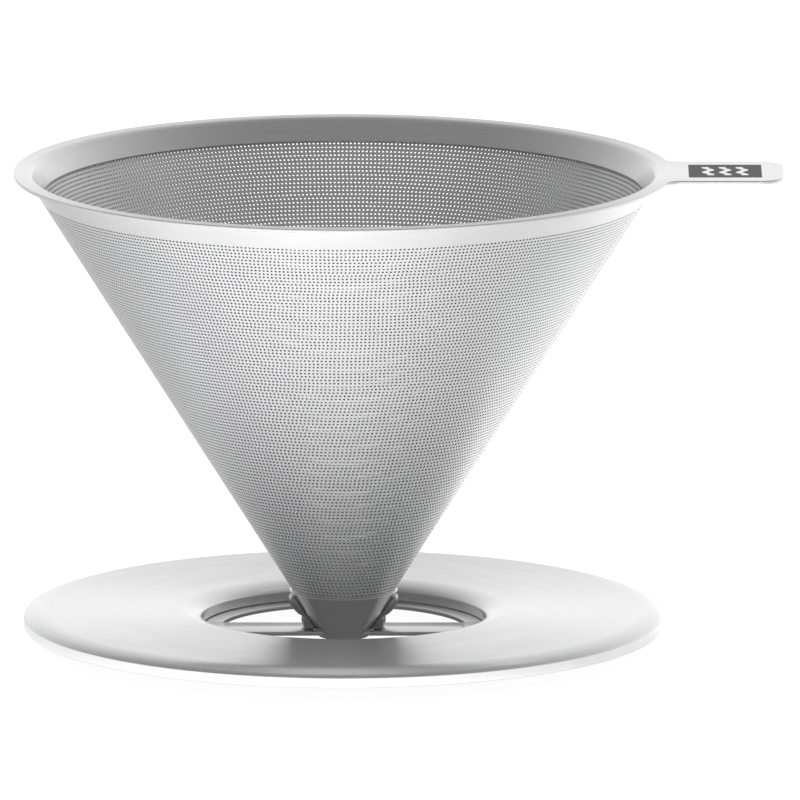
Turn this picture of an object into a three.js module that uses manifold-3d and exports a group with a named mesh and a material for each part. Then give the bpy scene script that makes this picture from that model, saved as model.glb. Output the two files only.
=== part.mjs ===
// Pour over coffee dripper: a perforated steel cone with a tabbed rim, held by a
// tapered support cup in the middle of a round stand. Millimetres, +Z up.
// The origin is the centre of the bounding box's bottom face, on the standing
// plane, so the cone's axis stands at x = AXIS_X. The tab points along +X.
import * as THREE from 'three';
import { mergeVertices } from 'three/addons/utils/BufferGeometryUtils.js';
import Module from 'manifold-3d';

// ---- driving dimensions ----
const RIM_R = 60;              // rim flange, outer radius
const TAB_REACH = 80;          // cone axis to the tab's end
const AXIS_X = (RIM_R - TAB_REACH) / 2;
const RIM_Z = 87;              // flange top above the standing plane
const SLOPE = 0.6287;          // radius gained per millimetre of height on the cone
const FALL = Math.sqrt(1 + SLOPE * SLOPE); // radial width of a unit sheet thickness

const RIM_SHEET = 0.65;        // flange, skirt and tab
const RIM_CORNER = 56.9;       // skirt's inner face, carried up to the flange top
const RIM_BEND = 0.8;          // bend radius on the inner face
const SKIRT_Z = 82.9;          // skirt's lower edge
const TAB_HALF = 10.3;         // tab half width
const TAB_CORNER = 4.5;        // tab's outer corners
const TAB_BLEND = 2.5;         // tab to flange fillets

const CONE_TOP_R = 58.1;       // cone's outer face, carried up to the flange top
const CONE_SHEET = 0.35;
const CONE_TOP_Z = 86.05;
const CONE_END_Z = 4.3;

const CUP_CLEAR = 0.15;        // radial, cone to cup
const CUP_SHEET = 0.45;
const CUP_TOP_Z = 9.6;
const CUP_END_Z = 0.9;

const SCREEN_Z = 4.9;          // closing disc in the cone's end
const SCREEN_TOP_Z = 6.4;
const SCREEN_SHEET = 0.35;

const BASE_R = 58.3;           // stand, outer radius
const BASE_TOP_Z = 6.03;
const BASE_EDGE_Z = 2.8;       // lower edge of the stand's rolled side
const BASE_SHEET = 0.6;
const BASE_SHOULDER = 1.45;
const WELL_R = 25.8;           // collar around the middle opening
const WELL_FILLET = 1.6;
const WELL_END_Z = 2.72;

const PLATE_TOP_Z = 2.5;
const PLATE_SHEET = 0.75;
const PLATE_R = 36;            // turned-down lip, outer radius
const PLATE_BEND = 1.2;
const WINDOW_R = 22.6;         // two D-shaped windows
const BAR_HALF = 4.53;         // half width of the bar between the windows
const BAR_HOLE_R = 5.95;       // the cup passes here

const LUG_HALF = 2.7;          // half width of a lug across the bar
const SEGMENTS = 72;
const SMALL_SEGMENTS = 48;

// ---- helpers ----
const wasm = await Module();
wasm.setup();

const bare = (geometry) => {
  const g = geometry.index ? geometry.toNonIndexed() : geometry.clone();
  for (const name of Object.keys(g.attributes)) if (name !== 'position') g.deleteAttribute(name);
  return mergeVertices(g, 1e-4);
};

// Drops triangles that merging has closed up, and turns every face outward.
const closed = (geometry) => {
  const g = bare(geometry);
  const p = g.attributes.position;
  const kept = [];
  let volume = 0;
  const a = new THREE.Vector3();
  const b = new THREE.Vector3();
  const c = new THREE.Vector3();
  for (let i = 0; i < g.index.count; i += 3) {
    const [u, v, w] = [g.index.getX(i), g.index.getX(i + 1), g.index.getX(i + 2)];
    if (u === v || v === w || w === u) continue;
    kept.push(u, v, w);
    a.fromBufferAttribute(p, u);
    b.fromBufferAttribute(p, v);
    c.fromBufferAttribute(p, w);
    volume += a.dot(b.cross(c)) / 6;
  }
  if (volume < 0) for (let i = 0; i < kept.length; i += 3) [kept[i + 1], kept[i + 2]] = [kept[i + 2], kept[i + 1]];
  g.setIndex(kept);
  return g;
};

// A profile of [radius, height] pairs turned about the vertical axis.
const revolve = (profile, segments = SEGMENTS) => {
  const points = profile.map(([r, z]) => new THREE.Vector2(r, z));
  const onAxis = profile[0][0] === 0 && profile[profile.length - 1][0] === 0;
  if (!onAxis) points.push(points[0].clone());
  const g = new THREE.LatheGeometry(points, segments);
  g.rotateX(Math.PI / 2);
  return closed(g);
};

const prism = (outline, z0, z1) => {
  const shape = new THREE.Shape(outline.map(([x, y]) => new THREE.Vector2(x, y)));
  const g = new THREE.ExtrudeGeometry(shape, { depth: z1 - z0, bevelEnabled: false });
  g.translate(0, 0, z0);
  return closed(g);
};

const toSolid = (geometry) => new wasm.Manifold(new wasm.Mesh({
  numProp: 3,
  vertProperties: new Float32Array(geometry.attributes.position.array),
  triVerts: new Uint32Array(geometry.index.array),
}));

const fromSolid = (solid) => {
  const m = solid.getMesh();
  const g = new THREE.BufferGeometry();
  g.setAttribute('position', new THREE.BufferAttribute(new Float32Array(m.vertProperties), 3));
  g.setIndex(Array.from(m.triVerts));
  return g;
};

// Points on an arc, from angle a to angle b in degrees.
const arc = (cx, cy, r, a, b, steps) => Array.from({ length: steps + 1 }, (_, i) => {
  const t = THREE.MathUtils.degToRad(a + ((b - a) * i) / steps);
  return [cx + r * Math.cos(t), cy + r * Math.sin(t)];
});

const coneOuter = (z) => CONE_TOP_R - (RIM_Z - z) * SLOPE;
const coneInner = (z) => coneOuter(z) - CONE_SHEET * FALL;
const cupInner = (z) => coneOuter(z) + CUP_CLEAR;
const cupOuter = (z) => cupInner(z) + CUP_SHEET * FALL;

// ---- rim collar: flange, sloping skirt and tab in one stamping ----
const bendAngle = 90 - THREE.MathUtils.radToDeg(Math.atan(SLOPE));
const tangent = RIM_BEND * Math.tan(THREE.MathUtils.degToRad(bendAngle / 2));
const bendX = RIM_CORNER + tangent;
const bendZ = RIM_Z - RIM_BEND;
const skirtInner = (z) => RIM_CORNER - (RIM_Z - z) * SLOPE;
const skirtOuter = (z) => skirtInner(z) + RIM_SHEET * FALL;
const rimProfile = [
  [RIM_R, RIM_Z],
  ...arc(bendX, bendZ, RIM_BEND, 90, 90 + bendAngle, 4),
  [skirtInner(SKIRT_Z), SKIRT_Z],
  [skirtOuter(SKIRT_Z), SKIRT_Z],
  [skirtOuter(RIM_Z - RIM_SHEET), RIM_Z - RIM_SHEET],
  [RIM_R, RIM_Z - RIM_SHEET],
];

const blendX = Math.sqrt((RIM_R - 0.06 + TAB_BLEND) ** 2 - (TAB_HALF + TAB_BLEND) ** 2);
const blendAngle = THREE.MathUtils.radToDeg(Math.atan2(TAB_HALF + TAB_BLEND, blendX));
const half = [
  ...arc(0, 0, RIM_R - 1.4, 0, blendAngle, 4),
  ...arc(blendX, TAB_HALF + TAB_BLEND, TAB_BLEND, 180 + blendAngle, 270, 4),
  ...arc(TAB_REACH - TAB_CORNER, TAB_HALF - TAB_CORNER, TAB_CORNER, 90, 0, 6),
];
const tabOutline = [...half, ...half.slice(1).reverse().map(([x, y]) => [x, -y])];
const rimCollar = fromSolid(
  toSolid(revolve(rimProfile)).add(toSolid(prism(tabOutline, RIM_Z - RIM_SHEET, RIM_Z))),
);

// ---- filter cone: rolled sheet, open at both ends ----
const filterCone = revolve([
  [coneOuter(CONE_TOP_Z), CONE_TOP_Z],
  [coneInner(CONE_TOP_Z), CONE_TOP_Z],
  [coneInner(CONE_END_Z), CONE_END_Z],
  [coneOuter(CONE_END_Z), CONE_END_Z],
]);

// ---- tip screen: small dished disc that closes the cone's end ----
const screenOuter = (z) => coneInner(z) - 0.25;
const tipScreen = revolve([
  [0, SCREEN_Z],
  [screenOuter(SCREEN_Z), SCREEN_Z],
  [screenOuter(SCREEN_TOP_Z), SCREEN_TOP_Z],
  [screenOuter(SCREEN_TOP_Z) - SCREEN_SHEET * FALL, SCREEN_TOP_Z],
  [screenOuter(SCREEN_Z + SCREEN_SHEET) - SCREEN_SHEET * FALL, SCREEN_Z + SCREEN_SHEET],
  [0, SCREEN_Z + SCREEN_SHEET],
], SMALL_SEGMENTS);

// ---- support cup: tapered sleeve that the cone's end sits in ----
const supportCup = revolve([
  [cupOuter(CUP_TOP_Z), CUP_TOP_Z],
  [cupInner(CUP_TOP_Z), CUP_TOP_Z],
  [cupInner(CUP_END_Z), CUP_END_Z],
  [cupOuter(CUP_END_Z), CUP_END_Z],
], SMALL_SEGMENTS);

// ---- support lugs: two-lobed brackets on the bar, one each side of the cup ----
const LUG_GAP = 0.2;
const lugFoot = PLATE_TOP_Z + 0.15;
const lugRound = toSolid(revolve([
  [0, lugFoot], [7.3, lugFoot], [7.62, 3.2], [7.85, 3.8], [7.88, 4.35], [7.82, 4.85],
  [8.3, 5.25], [8.8, 5.6], [9.35, 6.25], [10.0, 7.05], [10.12, 7.8], [9.95, 8.5], [0, 8.5],
]));
// The inner face follows the cup's round wall.
const cupRelief = toSolid(revolve([
  [0, 0], [cupOuter(0) + LUG_GAP, 0], [cupOuter(12) + LUG_GAP, 12], [0, 12],
]));
const lugSlice = toSolid(closed(new THREE.BoxGeometry(8, 2 * LUG_HALF, 10).translate(8, 0, 5)));
const lugRight = fromSolid(lugRound.intersect(lugSlice).subtract(cupRelief));
const lugLeft = lugRight.clone().rotateZ(Math.PI);

// ---- bottom plate: disc with two windows, a bar between them and a turned-down lip ----
const plateProfile = [
  [WINDOW_R, PLATE_TOP_Z],
  [WINDOW_R, PLATE_TOP_Z - PLATE_SHEET],
  [PLATE_R - PLATE_SHEET, PLATE_TOP_Z - PLATE_SHEET],
  [PLATE_R - PLATE_SHEET, 0],
  [PLATE_R, 0],
  ...arc(PLATE_R - PLATE_BEND, PLATE_TOP_Z - PLATE_BEND, PLATE_BEND, 0, 90, 3),
];
const barLength = WINDOW_R + 1.5;
const bar = toSolid(prism([
  [-barLength, -BAR_HALF], [barLength, -BAR_HALF], [barLength, BAR_HALF], [-barLength, BAR_HALF],
], PLATE_TOP_Z - PLATE_SHEET, PLATE_TOP_Z));
const barHole = toSolid(revolve([[0, 0], [BAR_HOLE_R, 0], [BAR_HOLE_R, 5], [0, 5]], SMALL_SEGMENTS));
const bottomPlate = fromSolid(toSolid(revolve(plateProfile)).add(bar.subtract(barHole)));

// ---- base shell: pressed top with a rolled outer side and a collar down into the well ----
const shoulderIn = BASE_SHOULDER - BASE_SHEET;
const filletIn = WELL_FILLET - BASE_SHEET;
const baseProfile = [
  [BASE_R - BASE_SHEET, BASE_EDGE_Z],
  [BASE_R, BASE_EDGE_Z],
  ...arc(BASE_R - BASE_SHOULDER, BASE_TOP_Z - BASE_SHOULDER, BASE_SHOULDER, 0, 90, 4),
  ...arc(WELL_R + WELL_FILLET, BASE_TOP_Z - WELL_FILLET, WELL_FILLET, 90, 180, 4),
  [WELL_R, WELL_END_Z],
  [WELL_R + BASE_SHEET, WELL_END_Z],
  ...arc(WELL_R + WELL_FILLET, BASE_TOP_Z - WELL_FILLET, filletIn, 180, 90, 3),
  ...arc(BASE_R - BASE_SHOULDER, BASE_TOP_Z - BASE_SHOULDER, shoulderIn, 90, 0, 3),
];
const baseShell = revolve(baseProfile);

// ---- assembly ----
const steel = (color, roughness) => new THREE.MeshStandardMaterial({ color, roughness, metalness: 1 });
const dripper = new THREE.Group();
dripper.position.x = AXIS_X;
const place = (name, geometry, material) => {
  geometry.computeVertexNormals();
  const mesh = new THREE.Mesh(geometry, material);
  mesh.name = name;
  dripper.add(mesh);
};
place('rim_collar', rimCollar, steel(0xb9bbbd, 0.32));
place('filter_cone', filterCone, steel(0xa6a8aa, 0.34));
place('tip_screen', tipScreen, steel(0xa6a8aa, 0.36));
place('support_cup', supportCup, steel(0xb0b2b4, 0.3));
place('lug_left', lugLeft, steel(0x8f9193, 0.38));
place('lug_right', lugRight, steel(0x8f9193, 0.38));
place('bottom_plate', bottomPlate, steel(0xb4b6b8, 0.34));
place('base_shell', baseShell, steel(0xbcbec0, 0.3));

export default dripper;
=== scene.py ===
import math

import bmesh
import bpy
import numpy as np
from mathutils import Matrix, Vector
from mathutils.geometry import delaunay_2d_cdt


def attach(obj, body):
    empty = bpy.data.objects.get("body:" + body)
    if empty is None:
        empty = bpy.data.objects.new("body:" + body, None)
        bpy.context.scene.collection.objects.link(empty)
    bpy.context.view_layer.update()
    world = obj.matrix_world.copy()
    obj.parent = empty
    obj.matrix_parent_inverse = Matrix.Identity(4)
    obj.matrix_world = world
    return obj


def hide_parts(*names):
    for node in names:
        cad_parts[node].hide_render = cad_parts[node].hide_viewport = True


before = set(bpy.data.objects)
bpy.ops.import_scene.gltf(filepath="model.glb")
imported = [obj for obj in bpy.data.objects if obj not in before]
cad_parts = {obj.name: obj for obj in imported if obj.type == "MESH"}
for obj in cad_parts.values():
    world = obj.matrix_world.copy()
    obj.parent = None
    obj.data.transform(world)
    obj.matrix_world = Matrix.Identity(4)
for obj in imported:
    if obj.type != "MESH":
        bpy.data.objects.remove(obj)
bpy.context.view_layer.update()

MM = 0.001
AX = -10.0          # the cone's axis
RIM_Z, SLOPE = 87.0, 0.6287
FALL = math.sqrt(1 + SLOPE * SLOPE)
TILT = math.atan(SLOPE)

# ------------------------------------------------------------------ mesh helpers


def fillet(points, closed=True, support=0.18):
    """points are (a, b, radius, steps). Rounds each corner, and adds a point near each end of a long straight run."""
    n = len(points)
    out = []
    tangents = {}
    for i, (x, y, r, k) in enumerate(points):
        if r <= 0 or (not closed and i in (0, n - 1)):
            out.append([(x, y)])
            tangents[i] = ((x, y), (x, y))
            continue
        p = np.array([x, y])
        a = np.array(points[i - 1][:2]) - p
        b = np.array(points[(i + 1) % n][:2]) - p
        a /= np.linalg.norm(a)
        b /= np.linalg.norm(b)
        ang = math.acos(max(-1, min(1, float(a @ b))))
        d = r / math.tan(ang / 2)
        c = p + (a + b) / np.linalg.norm(a + b) * (r / math.sin(ang / 2))
        t0, t1 = p + a * d, p + b * d
        a0 = math.atan2(*(t0 - c)[::-1])
        a1 = math.atan2(*(t1 - c)[::-1])
        da = (a1 - a0 + math.pi) % (2 * math.pi) - math.pi
        out.append([(c[0] + r * math.cos(a0 + da * j / k), c[1] + r * math.sin(a0 + da * j / k)) for j in range(k + 1)])
        tangents[i] = (tuple(t0), tuple(t1))
    line = []
    for i in range(n):
        line += out[i]
        if not closed and i == n - 1:
            break
        p, q = np.array(tangents[i][1]), np.array(tangents[(i + 1) % n][0])
        length = float(np.linalg.norm(q - p))
        if support and length > 4 * support:
            u = (q - p) / length
            line += [tuple(p + u * support), tuple(q - u * support)]
    return line


def new_object(name, verts, faces, sharp_deg=38.0, materials=()):
    """faces is a list of (array of vertex indices with one face a row, material index)."""
    me = bpy.data.meshes.new(name)
    verts = np.asarray(verts, np.float64).copy()
    verts[:, 0] += AX
    verts *= MM
    me.vertices.add(len(verts))
    me.vertices.foreach_set("co", verts.astype(np.float32).ravel())
    faces = [(np.asarray(f, np.int32), m) for f, m in faces if len(f)]
    loops = np.concatenate([f.ravel() for f, _ in faces])
    sizes = np.concatenate([np.full(len(f), f.shape[1], np.int32) for f, _ in faces])
    mats = np.concatenate([np.full(len(f), m, np.int32) for f, m in faces])
    starts = np.concatenate([[0], np.cumsum(sizes)[:-1]]).astype(np.int32)
    me.loops.add(len(loops))
    me.loops.foreach_set("vertex_index", loops.astype(np.int32))
    me.polygons.add(len(sizes))
    me.polygons.foreach_set("loop_start", starts)
    me.polygons.foreach_set("material_index", mats)
    for m in materials:
        me.materials.append(m)
    me.update(calc_edges=True)
    me.validate()
    bm = bmesh.new()
    bm.from_mesh(me)
    bmesh.ops.recalc_face_normals(bm, faces=bm.faces)
    bm.to_mesh(me)
    bm.free()
    me.shade_smooth()
    me.set_sharp_from_angle(angle=math.radians(sharp_deg))
    ob = bpy.data.objects.new(name, me)
    bpy.context.scene.collection.objects.link(ob)
    return ob


def revolve(profile, n, start=0, offset=0.0):
    """Closed (r, z) profile, counter-clockwise in the r-z plane, turned about the axis. Returns vertices and quads."""
    p = np.asarray(profile, float)
    area = 0.5 * np.sum(p[:, 0] * np.roll(p[:, 1], -1) - np.roll(p[:, 0], -1) * p[:, 1])
    if area < 0:
        p = p[::-1]
    k = len(p)
    t = offset + np.arange(n) * 2 * math.pi / n
    v = np.empty((n, k, 3))
    v[:, :, 0] = np.cos(t)[:, None] * p[None, :, 0]
    v[:, :, 1] = np.sin(t)[:, None] * p[None, :, 0]
    v[:, :, 2] = p[None, :, 1]
    i = np.arange(n)[:, None]
    j = np.arange(k)[None, :]
    i2, j2 = (i + 1) % n, (j + 1) % k
    quads = np.stack([i * k + j, i2 * k + j, i2 * k + j2, i * k + j2], -1).reshape(-1, 4) + start
    return v.reshape(-1, 3), quads


def inside(points, poly):
    """Even-odd test of (n, 2) points in a closed polygon."""
    x, y = points[:, 0][:, None], points[:, 1][:, None]
    a, b = np.asarray(poly), np.roll(np.asarray(poly), -1, 0)
    with np.errstate(divide="ignore", invalid="ignore"):
        cut = (a[:, 1] > y) != (b[:, 1] > y)
        at = (b[:, 0] - a[:, 0]) * (y - a[:, 1]) / (b[:, 1] - a[:, 1]) + a[:, 0]
    return (np.sum(cut & (x < at), 1) % 2) == 1


def flat_fill(loops, ids, keep, extra=()):
    """Triangles between closed 2D loops whose vertices already have ids. extra are further loops, given new vertices.
    Returns (triangles over ids and new vertices, coordinates of the new vertices)."""
    coords, edges, own = [], [], []
    for loop, idx in list(zip(loops, ids)) + [(e, [None] * len(e)) for e in extra]:
        s = len(coords)
        coords += [Vector((float(x), float(y))) for x, y in loop]
        own += list(idx)
        m = len(loop)
        edges += [(s + q, s + (q + 1) % m) for q in range(m)]
    v, _, f, ov, _, _ = delaunay_2d_cdt(coords, edges, [], 0, 1e-7)
    new, table, nxt = [], [], max(max(i) for i in ids) + 1
    for q, src in enumerate(ov):
        known = [own[s] for s in src if own[s] is not None]
        if known:
            table.append(known[0])
        else:
            table.append(-1 - len(new))
            new.append((v[q].x, v[q].y))
    pts = np.array([(c.x, c.y) for c in v])
    tri = np.array([list(t) for t in f if len(t) == 3])
    mid = pts[tri].mean(1)
    ok = keep(mid)
    tri, mid = tri[ok], mid[ok]
    # counter-clockwise
    a, b, c = pts[tri[:, 0]], pts[tri[:, 1]], pts[tri[:, 2]]
    flip = (b[:, 0] - a[:, 0]) * (c[:, 1] - a[:, 1]) - (b[:, 1] - a[:, 1]) * (c[:, 0] - a[:, 0]) < 0
    tri[flip] = tri[flip][:, ::-1]
    return np.array(table)[tri], new, mid


def inset(loop, d):
    """A counter-clockwise closed 2D loop moved inwards by d along its corner normals."""
    p = np.asarray(loop, float)
    a, b = p - np.roll(p, 1, 0), np.roll(p, -1, 0) - p
    na = np.stack([-a[:, 1], a[:, 0]], 1) / np.linalg.norm(a, axis=1)[:, None]
    nb = np.stack([-b[:, 1], b[:, 0]], 1) / np.linalg.norm(b, axis=1)[:, None]
    m = na + nb
    m /= np.linalg.norm(m, axis=1)[:, None]
    return p + m * (d / np.maximum((m * na).sum(1), 0.3))[:, None]


def strip(a, b, closed=True):
    """Quads between two rows of vertex ids of the same length."""
    a, b = np.asarray(a), np.asarray(b)
    if closed:
        return np.stack([a, np.roll(a, -1), np.roll(b, -1), b], -1)
    return np.stack([a[:-1], a[1:], b[1:], b[:-1]], -1)


def circle(r, n, offset=0.0, cx=0.0, cy=0.0):
    t = offset + np.arange(n) * 2 * math.pi / n
    return np.stack([cx + r * np.cos(t), cy + r * np.sin(t)], -1)


# ------------------------------------------------------------------ materials


class Nodes:
    def __init__(self, name):
        self.mat = bpy.data.materials.new(name)
        self.mat.use_nodes = True
        self.t = self.mat.node_tree
        self.t.nodes.clear()
        self.out = self.t.nodes.new("ShaderNodeOutputMaterial")
        self.p = self.t.nodes.new("ShaderNodeBsdfPrincipled")
        self.t.links.new(self.p.outputs[0], self.out.inputs[0])

    def node(self, kind, ins=(), **props):
        n = self.t.nodes.new(kind)
        for k, v in props.items():
            setattr(n, k, v)
        for k, v in dict(ins).items():
            if isinstance(v, bpy.types.NodeSocket):
                self.t.links.new(v, n.inputs[k])
            else:
                n.inputs[k].default_value = v
        return n

    def math(self, op, a, b=0.0, c=0.0, clamp=False):
        return self.node("ShaderNodeMath", {0: a, 1: b, 2: c}, operation=op, use_clamp=clamp).outputs[0]

    def mix(self, f, a, b):
        return self.node("ShaderNodeMix", {0: f, 2: a, 3: b}, data_type="FLOAT").outputs[0]

    def ramp(self, value, lo, hi, to_lo=0.0, to_hi=1.0):
        n = self.node("ShaderNodeMapRange", {0: value, 1: lo, 2: hi, 3: to_lo, 4: to_hi}, clamp=True)
        return n.outputs[0]

    def link(self, a, b):
        self.t.links.new(a, b)


def polar(m):
    """Distance from the cone's axis and the direction round it, both in metres and seamless."""
    pos = m.node("ShaderNodeTexCoord").outputs["Object"]
    xyz = m.node("ShaderNodeSeparateXYZ", {0: pos})
    x = m.math("SUBTRACT", xyz.outputs[0], AX * MM)
    y = xyz.outputs[1]
    r = m.math("SQRT", m.math("ADD", m.math("MULTIPLY", x, x), m.math("MULTIPLY", y, y)))
    r = m.math("MAXIMUM", r, 1e-5)
    return pos, x, y, xyz.outputs[2], r, m.math("DIVIDE", x, r), m.math("DIVIDE", y, r)


def brushed(name, grey, rough, aniso=0.75, lines=9000.0, arc=2.2, bump=0.05, along="r", tint=0.0, rough_amp=0.10, tone_amp=0.06):
    """Steel brushed in circles round the cone's axis. lines: streaks per metre across the brushing; arc: streaks round."""
    m = Nodes(name)
    pos, x, y, z, r, cx, cy = polar(m)
    across = r if along == "r" else m.math("MULTIPLY", z, 1.18) if along == "z" else m.math("ADD", r, z)
    def streak(scale, arc_scale, detail, seed):
        v = m.node("ShaderNodeCombineXYZ", {0: m.math("MULTIPLY_ADD", across, scale, seed), 1: m.math("MULTIPLY", cx, arc_scale), 2: m.math("MULTIPLY", cy, arc_scale)}).outputs[0]
        return m.node("ShaderNodeTexNoise", {"Vector": v, "Scale": 1.0, "Detail": detail, "Roughness": 0.6}).outputs[0]
    fine = streak(lines, arc * 4, 2.0, 3.1)
    mid = streak(lines * 0.22, arc * 1.6, 3.0, 17.7)
    wide = streak(lines * 0.035, arc, 2.0, 41.3)
    cloud = m.node("ShaderNodeTexNoise", {"Vector": pos, "Scale": 55.0, "Detail": 4.0, "Roughness": 0.55}).outputs[0]
    tone = m.math("ADD", m.math("MULTIPLY", m.math("SUBTRACT", fine, 0.5), tone_amp * 1.2),
                  m.math("ADD", m.math("MULTIPLY", m.math("SUBTRACT", mid, 0.5), tone_amp * 1.4), m.math("MULTIPLY", m.math("SUBTRACT", cloud, 0.5), tone_amp * 0.5)))
    g = m.math("ADD", tone, grey)
    col = m.node("ShaderNodeCombineColor", {0: g, 1: m.math("MULTIPLY", g, 1.002), 2: m.math("MULTIPLY", g, 1.0 + 0.006 + tint)}).outputs[0]
    m.link(col, m.p.inputs["Base Color"])
    ro = m.math("ADD", m.math("MULTIPLY", m.math("SUBTRACT", mid, 0.5), rough_amp), m.math("MULTIPLY", m.math("SUBTRACT", wide, 0.5), rough_amp * 0.8))
    ro = m.math("ADD", ro, m.math("MULTIPLY_ADD", m.math("SUBTRACT", cloud, 0.5), rough_amp * 0.5, rough))
    m.link(ro, m.p.inputs["Roughness"])
    h = m.math("ADD", m.math("MULTIPLY", fine, 0.55), m.math("MULTIPLY", mid, 0.9))
    b = m.node("ShaderNodeBump", {"Strength": bump, "Distance": 0.00012, "Height": h})
    m.link(b.outputs[0], m.p.inputs["Normal"])
    m.p.inputs["Metallic"].default_value = 1.0
    m.p.inputs["Anisotropic"].default_value = aniso
    m.p.inputs["Anisotropic Rotation"].default_value = 0.25
    tan = m.node("ShaderNodeTangent", direction_type="RADIAL", axis="Z")
    m.link(tan.outputs[0], m.p.inputs["Tangent"])
    return m


STEEL_RIM = brushed("steel_rim", 0.67, 0.26, aniso=0.95, lines=9000, along="rz").mat
STEEL_CONE = brushed("steel_cone", 0.80, 0.41, aniso=1.0, lines=6000, along="z", bump=0.02, tone_amp=0.03).mat
STEEL_CUP = brushed("steel_cup", 0.62, 0.25, aniso=0.9, lines=9000, along="z").mat
STEEL_BASE = brushed("steel_base", 0.72, 0.21, aniso=0.95, lines=7000, along="r").mat
STEEL_PLATE = brushed("steel_plate", 0.64, 0.3, aniso=0.4, lines=7000, along="r").mat
STEEL_LUG = brushed("steel_lug", 0.42, 0.36, aniso=0.2, lines=5000, along="rz", bump=0.15, tone_amp=0.12).mat


def etched():
    m = Nodes("etched_mark")
    pos = m.node("ShaderNodeTexCoord").outputs["Object"]
    n = m.node("ShaderNodeTexNoise", {"Vector": pos, "Scale": 9000.0, "Detail": 3.0}).outputs[0]
    g = m.ramp(n, 0.3, 0.7, 0.045, 0.085)
    m.link(m.node("ShaderNodeCombineColor", {0: g, 1: g, 2: g}).outputs[0], m.p.inputs["Base Color"])
    m.link(m.ramp(n, 0.3, 0.7, 0.45, 0.62), m.p.inputs["Roughness"])
    m.p.inputs["Metallic"].default_value = 0.4
    b = m.node("ShaderNodeBump", {"Strength": 0.2, "Distance": 0.00002, "Height": n})
    m.link(b.outputs[0], m.p.inputs["Normal"])
    return m.mat


ETCH = etched()


def hole_wall_painted_shade():
    """Etched-through walls of the perforations: painted dark grey to stand for the shade inside the holes, and duller
    than the faces.
    """
    m = Nodes("hole_wall_painted_shade")
    # painted shade: this dark grey stands for the shade inside the perforations, not a colour of the steel
    m.p.inputs["Base Color"].default_value = (0.13, 0.13, 0.132, 1)
    m.p.inputs["Metallic"].default_value = 1.0
    m.p.inputs["Roughness"].default_value = 0.5
    return m.mat


HOLE_WALL_SHADE = hole_wall_painted_shade()

# ------------------------------------------------------------------ rim collar

RIM_R, TAB_REACH, TAB_HALF, TAB_CORNER, TAB_BLEND = 60.0, 80.0, 10.3, 4.5, 2.5
SHEET = 0.65
RIM_CORNER = 56.9
BEND = 1.5
SKIRT_Z = 82.9
EDGE = 0.14


def rim_contour():
    """Outer edge of the flange and tab, counter-clockwise, starting at the tab's end."""
    bx = math.sqrt((RIM_R + TAB_BLEND) ** 2 - (TAB_HALF + TAB_BLEND) ** 2)
    ba = math.atan2(TAB_HALF + TAB_BLEND, bx)
    pts = [(TAB_REACH, y) for y in np.linspace(0, TAB_HALF - TAB_CORNER, 5)]
    pts += [(TAB_REACH - TAB_CORNER + TAB_CORNER * math.cos(a), TAB_HALF - TAB_CORNER + TAB_CORNER * math.sin(a)) for a in np.linspace(0, math.pi / 2, 17)[1:]]
    pts += [(x, TAB_HALF) for x in np.linspace(TAB_REACH - TAB_CORNER, bx, 9)[1:]]
    pts += [(bx + TAB_BLEND * math.cos(a), TAB_HALF + TAB_BLEND + TAB_BLEND * math.sin(a)) for a in np.linspace(-math.pi / 2, -math.pi + ba, 11)[1:]]
    step = 2 * math.pi / 720
    around = np.arange(math.ceil(ba / step + 0.5), 360 + 0.1) * step
    pts += [(RIM_R * math.cos(a), RIM_R * math.sin(a)) for a in around]
    low = [(x, -y) for x, y in pts[1:-1]][::-1]
    return np.array(pts + low)


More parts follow.
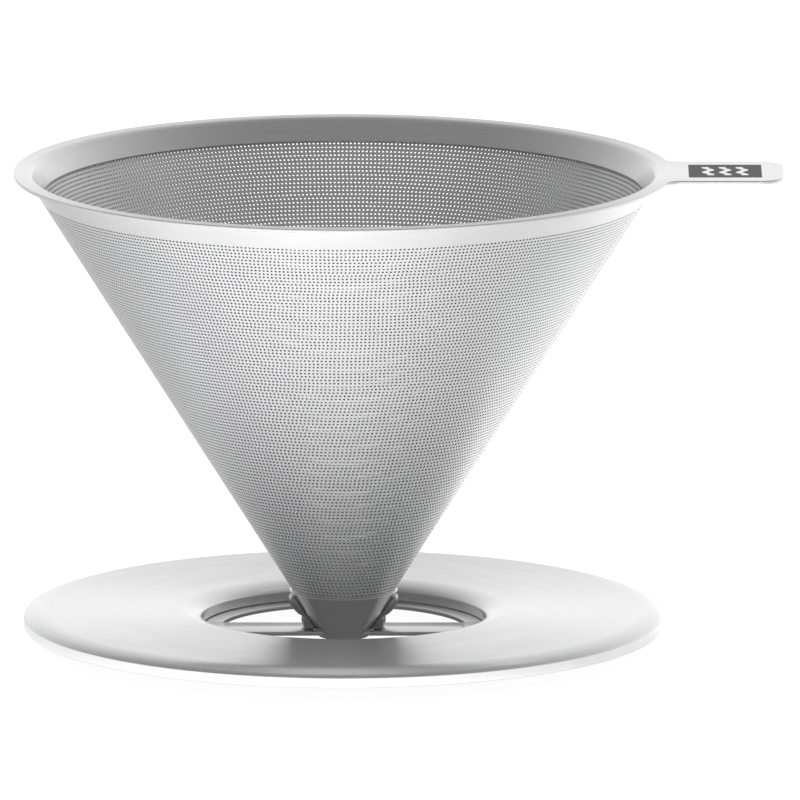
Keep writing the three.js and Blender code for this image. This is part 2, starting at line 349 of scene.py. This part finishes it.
def build_rim():
    n = 720
    tan = BEND * math.tan((math.pi / 2 - TILT) / 2)
    rin = lambda z: RIM_CORNER - (RIM_Z - z) * SLOPE
    rout = lambda z: rin(z) + SHEET * FALL
    zb = RIM_Z - SHEET
    # open profile from the flange top's inner edge, down the skirt, and up to the flange underside
    prof = fillet([
        (RIM_CORNER + tan + 0.3, RIM_Z, 0, 0), (RIM_CORNER, RIM_Z, BEND, 12), (rin(SKIRT_Z), SKIRT_Z, 0.1, 3),
        (rout(SKIRT_Z), SKIRT_Z, 0.1, 3), (rout(zb), zb, 0.35, 4), (rout(zb) + 0.9, zb, 0, 0)], closed=False)
    p = np.array(prof)
    k = len(p)
    t = np.arange(n) * 2 * math.pi / n
    v = np.empty((k, n, 3))
    v[:, :, 0] = p[:, 0][:, None] * np.cos(t)
    v[:, :, 1] = p[:, 0][:, None] * np.sin(t)
    v[:, :, 2] = p[:, 1][:, None]
    verts = [v.reshape(-1, 3)]
    ids = np.arange(k * n).reshape(k, n)
    faces = [(strip(ids[q], ids[q + 1])[:, ::-1], 0) for q in range(k - 1)]
    # outer contour, rounded over the sheet's edge
    c = rim_contour()
    rows = []
    for a in np.linspace(0, math.pi / 2, 4):
        rows.append((EDGE * (1 - math.sin(a)), RIM_Z - EDGE * (1 - math.cos(a))))
    for a in np.linspace(math.pi / 2, 0, 4):
        rows.append((EDGE * (1 - math.sin(a)), zb + EDGE * (1 - math.cos(a))))
    rows = [(EDGE + 0.15, RIM_Z)] + rows + [(EDGE + 0.15, zb)]
    base = k * n
    cid = []
    for d, z in rows:
        q = inset(c, d)
        verts.append(np.column_stack([q, np.full(len(q), z)]))
        cid.append(base + np.arange(len(q)))
        base += len(q)
    faces += [(strip(cid[q], cid[q + 1])[:, ::-1], 0) for q in range(len(rows) - 1)]
    # etched square with a generic mark of three wavy strokes, cut into the tab's top
    cx, half = 69.4, 6.65
    sq = [(cx - half, -half), (cx + half, -half), (cx + half, half), (cx - half, half)]
    waves = []
    for w in (-3.1, 0.0, 3.1):
        s = np.linspace(-4.2, 4.2, 25)
        mid = cx + w + 0.55 * np.sin(s * 1.35)
        waves.append([(m - 0.62, y) for m, y in zip(mid, s)] + [(m + 0.62, y) for m, y in zip(mid[::-1], s[::-1])])
    top_c = inset(c, rows[0][0])
    r0 = p[0, 0]
    keep = lambda q: (np.hypot(q[:, 0], q[:, 1]) > r0 - 1e-6) & inside(q, top_c)
    tri, new, mid = flat_fill([top_c, v[0, :, :2]], [cid[0], ids[0]], keep, [sq] + waves)
    tri = np.where(tri < 0, base + (-1 - tri), tri)
    verts.append(np.array([(x, y, RIM_Z) for x, y in new]))
    base += len(new)
    dark = inside(mid, sq) & ~np.any([inside(mid, w) for w in waves], 0)
    faces += [(tri[~dark], 0), (tri[dark], 1)]
    low_c = inset(c, rows[-1][0])
    r1 = p[-1, 0]
    keep = lambda q: (np.hypot(q[:, 0], q[:, 1]) > r1 - 1e-6) & inside(q, low_c)
    tri, new, mid = flat_fill([low_c, v[-1, :, :2]], [cid[-1], ids[-1]], keep)
    assert not new
    faces.append((tri[:, ::-1], 0))
    return new_object("rim_collar_shell", np.concatenate(verts), faces, 38, [STEEL_RIM, ETCH])


rim = build_rim()
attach(rim, "root")
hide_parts("rim_collar")

# ------------------------------------------------------------------ perforated cone

CONE_TOP_R = 58.02          # outer face carried up to the rim plane
CONE_T = 0.26
HOLE_R = 0.212
ROW0_Z, ROW_END_Z = 82.3, 7.6
ROW_PITCH, HOLE_PITCH = 0.775, 0.763
CONE_TOP_Z, CONE_END_Z = 86.3, 4.35
SEAM_AT, SEAM_W = math.radians(-15.5), 1.1


def cone_radius(z):
    return CONE_TOP_R - (RIM_Z - z) * SLOPE


def build_cone():
    dz = ROW_PITCH / FALL
    rows = int((ROW0_Z - ROW_END_Z) / dz) + 1
    count = None
    tcol, scol = [], []        # angle from the seam's centre, and height, of every vertex on the outer face
    chains_up, chains_lo, faces4, holes = [], [], [], []
    base = 0
    seam_lo, seam_hi = [], []
    octo = np.array([(-0.924, 0.383), (-0.383, 0.924), (0.383, 0.924), (0.924, 0.383),
                     (0.924, -0.383), (0.383, -0.924), (-0.383, -0.924), (-0.924, -0.383)])
    for i in range(rows):
        z = ROW0_Z - i * dz
        r = cone_radius(z)
        free = 2 * math.pi * r - SEAM_W
        if count is None or free / count < 0.7455:
            count = int(round(free / HOLE_PITCH))
        pitch = free / count
        shift = 0.44 if i % 2 else 0.56
        u = (SEAM_W / 2 + (np.arange(count) + shift) * pitch) / r
        u = u[(u * r > SEAM_W / 2 + HOLE_R + 0.05) & (u * r < 2 * math.pi * r - SEAM_W / 2 - HOLE_R - 0.05)]
        m = len(u)
        hole_t = u[:, None] + octo[None, :, 0] * HOLE_R / r
        hole_z = np.broadcast_to(z + octo[None, :, 1] * HOLE_R / FALL, hole_t.shape)
        idx = base + np.arange(m * 8).reshape(m, 8)
        ends = base + m * 8 + np.arange(4)       # start up, start low, end up, end low
        zu, zl = z + 0.383 * HOLE_R / FALL, z - 0.383 * HOLE_R / FALL
        t0, t1 = SEAM_W / 2 / r, 2 * math.pi - SEAM_W / 2 / r
        tcol += [hole_t.ravel(), [t0, t0, t1, t1]]
        scol += [hole_z.ravel(), [zu, zl, zu, zl]]
        base += m * 8 + 4
        left_u = np.concatenate([idx[1:, 0], [ends[2]]])
        left_l = np.concatenate([idx[1:, 7], [ends[3]]])
        faces4.append(np.stack([idx[:, 3], idx[:, 4], left_l, left_u], -1))
        faces4.append(np.array([[ends[0], ends[1], idx[0, 7], idx[0, 0]]]))
        chains_up.append(np.concatenate([[ends[0]], idx[:, :4].ravel(), [ends[2]]]))
        chains_lo.append(np.concatenate([[ends[1]], idx[:, [7, 6, 5, 4]].ravel(), [ends[3]]]))
        seam_lo += [ends[0], ends[1]]
        seam_hi += [ends[2], ends[3]]
        holes.append(idx)
    # plain rings above and below
    def ring(z, n):
        nonlocal base
        r = cone_radius(z)
        t = np.linspace(SEAM_W / 2 / r, 2 * math.pi - SEAM_W / 2 / r, n)
        tcol.append(t)
        scol.append(np.full(n, z))
        ids = base + np.arange(n)
        base += n
        return ids
    N = 720
    top = [ring(z, N) for z in (CONE_TOP_Z, CONE_TOP_Z - 0.15, 84.2, ROW0_Z + 0.45)]
    last = ROW0_Z - (rows - 1) * dz
    M = 180
    bottom = [ring(z, M) for z in (last - 0.45, CONE_END_Z + 0.15, CONE_END_Z)]
    T, Z = np.concatenate(tcol), np.concatenate(scol)

    def zipper(a, b):
        """Triangles between an upper chain a and a lower chain b, both in order of angle."""
        ta, tb = T[a].copy(), T[b].copy()
        ta[0] = tb[0] = -1
        ta[-1] = tb[-1] = 99
        j = np.searchsorted(tb, ta[1:], side="left") - 1
        j = np.clip(j, 0, len(b) - 1)
        one = np.stack([a[:-1], b[j], a[1:]], -1)
        i = np.searchsorted(ta, tb[1:], side="right") - 1
        i = np.clip(i, 0, len(a) - 1)
        two = np.stack([a[i], b[:-1], b[1:]], -1)
        # the ends tie at 99: the upper chain closes first
        two[-1] = [a[-1], b[-2], b[-1]]
        return np.concatenate([one, two])

    tri = []
    for q in range(3):
        faces4.append(np.stack([top[q][:-1], top[q + 1][:-1], top[q + 1][1:], top[q][1:]], -1))
    for q in range(2):
        faces4.append(np.stack([bottom[q][:-1], bottom[q + 1][:-1], bottom[q + 1][1:], bottom[q][1:]], -1))
    tri.append(zipper(top[3], chains_up[0]))
    for q in range(rows - 1):
        tri.append(zipper(chains_lo[q], chains_up[q + 1]))
    tri.append(zipper(chains_lo[-1], bottom[0]))
    # the seam: the two plain edges are joined by a low welded bead
    lo = np.array([t[0] for t in top] + seam_lo + [t[0] for t in bottom])
    hi = np.array([t[-1] for t in top] + seam_hi + [t[-1] for t in bottom])
    cols = [hi]
    lift = np.zeros(len(T))
    extra_t, extra_z, extra_l = [], [], []
    steps = 6
    for c in range(1, steps):
        f = c / steps
        rr = cone_radius(Z[lo])
        wob = 0.02 * np.sin(Z[lo] * 2.1 + c) + 0.012 * np.sin(Z[lo] * 7.3)
        extra_t.append((f - 0.5) * SEAM_W / rr)
        extra_z.append(Z[lo])
        extra_l.append(0.07 * math.sin(math.pi * f) ** 2 + 0.35 * wob * math.sin(math.pi * f))
        cols.append(base + np.arange(len(lo)))
        base += len(lo)
    cols.append(lo)
    T = np.concatenate([T] + extra_t)
    Z = np.concatenate([Z] + extra_z)
    lift = np.concatenate([lift] + extra_l)
    for q in range(steps):
        a, b = cols[q], cols[q + 1]
        faces4.append(np.stack([a[:-1], a[1:], b[1:], b[:-1]], -1))
    ang = T + SEAM_AT
    def place(off, lifted):
        # off is the distance under the outer face, square to it
        r = cone_radius(Z) + (-off + lifted) * math.cos(TILT)
        zz = Z + (off - lifted) * math.sin(TILT)
        return np.stack([r * np.cos(ang), r * np.sin(ang), zz], -1)
    nv = len(T)
    outer = place(0.0, lift)
    inner = place(CONE_T, -lift * 0.4)
    quads = np.concatenate(faces4)
    tris = np.concatenate(tri)
    # these are listed clockwise or counter-clockwise as seen from outside; make both the same
    def outward(f):
        a, b, c = outer[f[:, 0]], outer[f[:, 1]], outer[f[:, 2]]
        n = np.cross(b - a, c - a)
        mid = (a + b + c) / 3
        s = n[:, 0] * mid[:, 0] + n[:, 1] * mid[:, 1]
        g = f.copy()
        g[s < 0] = g[s < 0][:, ::-1]
        return g
    quads, tris = outward(quads), outward(tris)
    all_faces = [(quads, 0), (tris, 0), (quads[:, ::-1] + nv, 0), (tris[:, ::-1] + nv, 0)]
    h = np.concatenate(holes)
    # hole walls take slot 1, painted dark grey as the shade inside the perforations
    for q in range(8):
        a, b = h[:, q], h[:, (q + 1) % 8]
        all_faces.append((np.stack([a, b, b + nv, a + nv], -1), 1))
    def rim_edge(plain, column_index, flip):
        loop = np.concatenate([plain, [c[column_index] for c in cols[1:-1]]])
        f = np.stack([loop, np.roll(loop, -1), np.roll(loop, -1) + nv, loop + nv], -1)
        return (f[:, ::-1] if flip else f, 0)
    all_faces.append(rim_edge(top[0], 0, False))
    all_faces.append(rim_edge(bottom[-1], -1, True))
    ob = new_object("perforated_cone", np.concatenate([outer, inner]), all_faces, 40, [STEEL_CONE, HOLE_WALL_SHADE])
    print("cone: rows", rows, "holes", len(h), "verts", 2 * nv)
    return ob


cone = build_cone()
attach(cone, "root")
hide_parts("filter_cone")

# ------------------------------------------------------------------ support cup

CUP_TOP_Z, CUP_END_Z, CUP_T = 9.6, 0.95, 0.5


def build_cup():
    inner = lambda z: cone_radius(z) + 0.03
    outer = lambda z: inner(z) + CUP_T * FALL
    prof = fillet([(outer(CUP_TOP_Z), CUP_TOP_Z, 0.16, 4), (inner(CUP_TOP_Z), CUP_TOP_Z, 0.12, 4),
                   (inner(CUP_END_Z), CUP_END_Z, 0.14, 4), (outer(CUP_END_Z), CUP_END_Z, 0.14, 4)])
    v, q = revolve(prof, 256)
    return new_object("support_cup_sleeve", v, [(q, 0)], 45, [STEEL_CUP])


cup = build_cup()
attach(cup, "root")
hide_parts("support_cup")

# ------------------------------------------------------------------ tip screen


def build_screen():
    """Dished disc with drip holes that closes the cone's end."""
    z0, z1, t = 4.92, 6.35, 0.32
    wall = lambda z: cone_radius(z) - CONE_T * FALL - 0.03
    holes = [(0.0, 0.0)]
    for ring, n in ((1.15, 6), (2.25, 12), (3.35, 18), (4.35, 24)):
        holes += [(ring * math.cos(2 * math.pi * (q + 0.5 * (ring > 2)) / n), ring * math.sin(2 * math.pi * (q + 0.5 * (ring > 2)) / n)) for q in range(n)]
    n = 120
    r_out = wall(z0) - 0.25
    prof = fillet([(r_out - 0.6, z0, 0, 0), (wall(z0) - 0.02, z0, 0.35, 5), (wall(z1), z1, 0.08, 2), (wall(z1) - t * FALL, z1, 0.08, 2),
                   (wall(z0 + t) - t * FALL - 0.02, z0 + t, 0.2, 4), (r_out - 0.6, z0 + t, 0, 0)], closed=False, support=0.1)
    p = np.array(prof)
    k = len(p)
    th = np.arange(n) * 2 * math.pi / n
    v = np.stack([p[:, 0][:, None] * np.cos(th), p[:, 0][:, None] * np.sin(th), np.broadcast_to(p[:, 1][:, None], (k, n))], -1)
    ids = np.arange(k * n).reshape(k, n)
    faces = [(strip(ids[q], ids[q + 1]), 0) for q in range(k - 1)]
    verts = [v.reshape(-1, 3)]
    base = k * n
    keep_holes = [h for h in holes if math.hypot(*h) < p[0, 0] - 0.35]
    lows, highs = [], []
    for hx, hy in keep_holes:
        c = circle(0.24, 12, 0, hx, hy)
        verts += [np.column_stack([c, np.full(12, z0)]), np.column_stack([c, np.full(12, z0 + t)])]
        lows.append((c, base + np.arange(12)))
        highs.append((c, base + 12 + np.arange(12)))
        faces.append((strip(base + np.arange(12), base + 12 + np.arange(12))[:, ::-1], 0))
        base += 24
    for layer, ring, flip in ((lows, 0, True), (highs, k - 1, False)):
        keep = lambda q, ring=ring: np.all([np.hypot(q[:, 0] - hx, q[:, 1] - hy) > 0.225 for hx, hy in keep_holes], 0) & (np.hypot(q[:, 0], q[:, 1]) < p[ring, 0])
        tri, new, _ = flat_fill([v[ring, :, :2]] + [c for c, _ in layer], [ids[ring]] + [i for _, i in layer], keep)
        assert not new
        faces.append((tri[:, ::-1] if flip else tri, 0))
    return new_object("tip_screen_disc", np.concatenate(verts), faces, 40, [STEEL_CUP])


screen = build_screen()
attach(screen, "root")
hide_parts("tip_screen")

# ------------------------------------------------------------------ base shell


def oval(cx, cz, a, b, start, end, steps):
    """Points of an upright ellipse's arc between two angles in degrees, closer together where it curves most."""
    w = (1 - np.cos(np.linspace(0, math.pi, steps + 1))) / 2
    t = np.radians(start + (end - start) * w)
    return [(cx + a * math.cos(q), cz + b * math.sin(q)) for q in t]


def build_base():
    """Pressed ring: a flat top that rolls softly over at the outside and dips into the well, with a plain outer wall."""
    R, T, B, W = 58.3, 6.03, 2.8, 25.8
    t = 0.6
    top = oval(R - 3.9, T - 1.55, 3.9, 1.55, 0, 90, 22)
    top = [top[0]] + top[1:] + [(R - 4.3, T)]
    well = [(W + 4.6, T)] + oval(W + 4.2, T - 1.75, 4.2, 1.75, 90, 180, 22)
    edge = fillet([(R, B + 0.9, 0, 0), (R, B, 0.2, 5), (R - t, B, 0.16, 4), (R - t, B + 0.9, 0, 0)], closed=False)[::-1]
    lower = fillet([(W, 3.6, 0, 0), (W, 2.72, 0.14, 4), (W + t, 2.72, 0.14, 4), (W + t, 3.6, 0, 0)], closed=False)
    under = oval(W + 4.3, T - 1.75 - t, 4.3 - t, 1.7, 180, 90, 14) + [(W + 5.0, T - t - 0.05), (R - 4.9, T - t - 0.05)] + oval(R - 4.2, T - 1.55 - t, 4.2 - t, 1.5, 90, 0, 14)
    prof = edge + top + well + lower + under
    out = [prof[0]]
    for q in prof[1:]:
        if math.hypot(q[0] - out[-1][0], q[1] - out[-1][1]) > 0.01:
            out.append(q)
    v, q = revolve(out, 720)
    return new_object("base_shell_pressing", v, [(q, 0)], 45, [STEEL_BASE])


base_ob = build_base()
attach(base_ob, "root")
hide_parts("base_shell")

# ------------------------------------------------------------------ bottom plate


def build_plate():
    top, t, R, win, bar = 2.5, 0.75, 36.0, 22.6, 4.53
    hole = 5.85
    e = 0.1
    n = 360
    # lip: open profile from the top's outer flat, over the bend, down the lip and back under the plate
    prof = fillet([(R - 2.2, top, 0, 0), (R, top, 1.2, 10), (R, 0.0, 0.15, 4), (R - t, 0.0, 0.15, 4), (R - t, top - t, 0.45, 6), (R - 2.2, top - t, 0, 0)], closed=False)
    p = np.array(prof)
    k = len(p)
    th = np.arange(n) * 2 * math.pi / n
    v = np.stack([p[:, 0][:, None] * np.cos(th), p[:, 0][:, None] * np.sin(th), np.broadcast_to(p[:, 1][:, None], (k, n))], -1)
    ids = np.arange(k * n).reshape(k, n)
    faces = [(strip(ids[q], ids[q + 1])[:, ::-1], 0) for q in range(k - 1)]
    verts = [v.reshape(-1, 3)]
    base = k * n

    # windows: a D on each side of the bar. The bar is cut through by the round hole of the cup.
    def window():
        xc = math.sqrt(win ** 2 - bar ** 2)
        a0 = math.atan2(bar, xc)
        arc = [(win * math.cos(a), win * math.sin(a)) for a in np.linspace(a0, math.pi - a0, 90)]
        xh = math.sqrt(hole ** 2 - bar ** 2)
        ah = math.atan2(bar, xh)
        pts = arc + [(x, bar) for x in np.linspace(-xc, -xh, 30)[1:]]
        return pts, ah, xh
    arc, ah, xh = window()
    # one outline for the two windows joined by the hole: upper window, left stub's end, lower window, right stub's end
    left_cut = [(hole * math.cos(a), hole * math.sin(a)) for a in np.linspace(math.pi - ah, math.pi + ah, 21)[1:-1]]
    upper_right = [(x, bar) for x in np.linspace(xh, math.sqrt(win ** 2 - bar ** 2), 30)]
    lower_right = [(x, -y) for x, y in upper_right][::-1]
    loop = arc + left_cut + [(x, -y) for x, y in arc[::-1]]
    # close along the right stub
    loop = loop + lower_right[1:-1] + [(hole * math.cos(a), hole * math.sin(a)) for a in np.linspace(-ah, ah, 21)] + upper_right[1:-1]
    c = np.array(loop)
    area = 0.5 * np.sum(c[:, 0] * np.roll(c[:, 1], -1) - np.roll(c[:, 0], -1) * c[:, 1])
    if area < 0:
        c = c[::-1]
    rows = []
    for a in np.linspace(0, math.pi / 2, 3):
        rows.append((-e * (1 - math.sin(a)), top - e * (1 - math.cos(a))))
    for a in np.linspace(math.pi / 2, 0, 3):
        rows.append((-e * (1 - math.sin(a)), top - t + e * (1 - math.cos(a))))
    cid = []
    for d, z in rows:
        q = inset(c, d)
        verts.append(np.column_stack([q, np.full(len(q), z)]))
        cid.append(base + np.arange(len(q)))
        base += len(q)
    faces += [(strip(cid[q], cid[q + 1]), 0) for q in range(len(rows) - 1)]
    for row, ring, flip in ((0, 0, False), (-1, k - 1, True)):
        lp = inset(c, rows[row][0])
        keep = lambda q, lp=lp, ring=ring: (~inside(q, lp)) & (np.hypot(q[:, 0], q[:, 1]) < p[ring, 0])
        tri, new, _ = flat_fill([lp, v[ring, :, :2]], [cid[row], ids[ring]], keep)
        assert not new, len(new)
        faces.append((tri[:, ::-1] if flip else tri, 0))
    return new_object("bottom_plate_stamping", np.concatenate(verts), faces, 40, [STEEL_PLATE])


plate = build_plate()
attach(plate, "root")
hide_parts("bottom_plate")

# ------------------------------------------------------------------ lugs


def build_lug(name, side):
    """Two-lobed bracket: a thick sector that follows the cup's wall, with rounded lobes."""
    wall = lambda z: cone_radius(z) + 0.03 + CUP_T * FALL + 0.02
    half = 2.6
    prof = [(wall(2.52), 2.52), (7.25, 2.52), (7.5, 3.0), (7.66, 3.55), (7.72, 4.05), (7.66, 4.5), (7.5, 4.82), (7.62, 4.98), (8.05, 5.12), (8.5, 5.38),
            (8.95, 5.8), (9.35, 6.3), (9.7, 6.8), (9.92, 7.3), (10.0, 7.8), (9.95, 8.3), (9.8, 8.5), (wall(8.5), 8.5)]
    p = np.array(prof)
    k = len(p)
    cols = 13
    v = np.empty((cols, k, 3))
    for c in range(cols):
        s = -1 + 2 * c / (cols - 1)
        y = half * s
        v[c, :, 0] = np.sqrt(p[:, 0] ** 2 - y * y)
        v[c, :, 1] = y
        v[c, :, 2] = p[:, 1]
    ids = np.arange(cols * k).reshape(cols, k)
    faces = []
    for c in range(cols - 1):
        a, b = ids[c], ids[c + 1]
        faces += [[a[j], a[(j + 1) % k], b[(j + 1) % k], b[j]] for j in range(k)]
    me = bpy.data.meshes.new(name)
    vv = v.reshape(-1, 3).copy()
    if side < 0:
        vv[:, :2] *= -1
    vv[:, 0] += AX
    me.from_pydata([tuple(x) for x in vv * MM], [], [list(map(int, f)) for f in faces] + [[int(x) for x in ids[0][::-1]], [int(x) for x in ids[-1]]])
    me.update()
    import bmesh
    bm = bmesh.new()
    bm.from_mesh(me)
    bmesh.ops.recalc_face_normals(bm, faces=bm.faces)
    rim_edges = [ed for ed in bm.edges if len(ed.link_faces) == 2 and ed.calc_face_angle(0) > math.radians(50)]
    bmesh.ops.bevel(bm, geom=rim_edges, offset=0.22 * MM, segments=3, profile=0.5, affect="EDGES", clamp_overlap=True)
    bm.to_mesh(me)
    bm.free()
    me.shade_smooth()
    me.set_sharp_from_angle(angle=math.radians(45))
    me.materials.append(STEEL_LUG)
    ob = bpy.data.objects.new(name, me)
    bpy.context.scene.collection.objects.link(ob)
    return ob


for nm, side, node in (("lug_left_bracket", -1, "lug_left"), ("lug_right_bracket", 1, "lug_right")):
    ob = build_lug(nm, side)
    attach(ob, "root")
    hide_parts(node)

# ------------------------------------------------------------------ floor, light, camera


def plain(name, grey, rough, emit=0.0):
    m = Nodes(name)
    pos = m.node("ShaderNodeTexCoord").outputs["Object"]
    n = m.node("ShaderNodeTexNoise", {"Vector": pos, "Scale": 3.0, "Detail": 2.0}).outputs[0]
    g = m.ramp(n, 0.3, 0.7, grey - 0.004, grey + 0.004)
    m.link(m.node("ShaderNodeCombineColor", {0: g, 1: g, 2: g}).outputs[0], m.p.inputs["Base Color"])
    m.p.inputs["Roughness"].default_value = rough
    m.p.inputs["Specular IOR Level"].default_value = 0.2
    m.p.inputs["Emission Color"].default_value = (1, 1, 1, 1)
    m.p.inputs["Emission Strength"].default_value = emit
    return m.mat


def quad_object(name, corners, mat):
    me = bpy.data.meshes.new(name)
    me.from_pydata(corners, [], [tuple(range(len(corners)))])
    me.update()
    me.materials.append(mat)
    ob = bpy.data.objects.new(name, me)
    bpy.context.scene.collection.objects.link(ob)
    return ob


S = 9.0
floor = quad_object("floor", [(-S, -S, 0), (S, -S, 0), (S, S, 0), (-S, S, 0)], plain("floor_white", 0.25, 0.6, 0.93))

def soft(low, *boxes):
    """Brightness round the object, from +X counter-clockwise: an even level and broad soft boxes (toward, strength, tightness)."""
    a = np.radians(np.arange(24) * 15.0)
    return low + np.zeros(24) + sum(k * ((1 + np.cos(a - math.radians(t))) / 2) ** p for t, k, p in boxes)


# A plain soft studio: one soft box low in front, one behind to the right, a weaker one on the left, and a dimmer top.
TABLE_LIGHT = soft(0.35, (265, 1.5, 3), (50, 1.1, 3), (180, 0.5, 5))
TENT_LOW = soft(0.25, (75, 0.9, 2))
TENT_TOP = soft(0.35)
WELL_LIGHT = 0.15     # under the base


def glow(name):
    m = bpy.data.materials.new(name)
    m.use_nodes = True
    t = m.node_tree
    t.nodes.clear()
    a = t.nodes.new("ShaderNodeAttribute")
    a.attribute_name = "level"
    e = t.nodes.new("ShaderNodeEmission")
    o = t.nodes.new("ShaderNodeOutputMaterial")
    t.links.new(a.outputs["Color"], e.inputs[0])
    t.links.new(e.outputs[0], o.inputs[0])
    return m


def cards(name, levels, at, edges, place, turn=96):
    """A smooth band of soft light between rings of cards. Seen in reflections only."""
    n = len(edges)
    az = np.arange(turn) / turn
    rings = []
    for row in levels:
        row = np.array(row if len(row) > 1 else row * 2, float)
        t = az * len(row)
        i = np.floor(t).astype(int)
        f = t - i
        f = f * f * (3 - 2 * f)
        rings.append(row[i % len(row)] * (1 - f) + row[(i + 1) % len(row)] * f)
    rings = np.array(rings)
    verts, cols = [], []
    for e in edges:
        lv = [np.interp(e, at, rings[:, q]) for q in range(turn)]
        cols += lv
        verts += [place(e, 2 * math.pi * q) for q in az]
    ids = np.arange(n * turn).reshape(n, turn)
    faces = [tuple(map(int, f)) for q in range(n - 1) for f in strip(ids[q], ids[q + 1])]
    me = bpy.data.meshes.new(name)
    me.from_pydata(verts, [], faces)
    me.update()
    at_ = me.color_attributes.new("level", "FLOAT_COLOR", "POINT")
    at_.data.foreach_set("color", np.array([(c, c, c, 1.0) for c in cols], np.float32).ravel())
    me.materials.append(glow(name))
    ob = bpy.data.objects.new(name, me)
    bpy.context.scene.collection.objects.link(ob)
    ob.visible_camera = False
    ob.visible_shadow = False
    ob.visible_diffuse = False
    return ob


cards("cards_table", [TABLE_LIGHT], [0.0], np.log(np.concatenate([np.geomspace(0.0584, 0.3, 14), np.geomspace(0.4, 8.0, 8)])),
      lambda e, a: (AX * MM + math.exp(e) * math.cos(a), math.exp(e) * math.sin(a), 0.0002))
cards("cards_well", [[WELL_LIGHT]], [0.0], np.array([0.0005, 0.02, 0.04, 0.0582]),
      lambda e, a: (AX * MM + e * math.cos(a), e * math.sin(a), 0.0002))
cards("cards_tent", [TENT_LOW, TENT_TOP], [8.0, 75.0], np.concatenate([[0.0], np.linspace(3, 87, 22), [89.9]]),
      lambda e, a: (8.0 * math.cos(math.radians(e)) * math.cos(a), 8.0 * math.cos(math.radians(e)) * math.sin(a), 8.0 * math.sin(math.radians(e))))

world = bpy.data.worlds.new("studio")
world.use_nodes = True
wt = world.node_tree
wt.nodes["Background"].inputs[0].default_value = (1, 1, 1, 1)
wt.nodes["Background"].inputs[1].default_value = 0.9
bpy.context.scene.world = world

CAM_D, CAM_E = 4.5, math.radians(10.65)
aim = Vector((0.00029, 0.0, 0.04465))
cd = bpy.data.cameras.new("camera")
cd.sensor_width = 36.0
cd.lens = 5.49 * 4500 * 36 / 800
cd.clip_start, cd.clip_end = 0.5, 60
cam = bpy.data.objects.new("camera", cd)
cam.location = aim + Vector((0, -math.cos(CAM_E), math.sin(CAM_E))) * CAM_D
cam.rotation_mode = "QUATERNION"
cam.rotation_quaternion = (aim - cam.location).to_track_quat("-Z", "Y")
bpy.context.scene.collection.objects.link(cam)
bpy.context.scene.camera = cam
bpy.context.scene.view_settings.view_transform = "Standard"
bpy.context.scene.view_settings.look = "None"
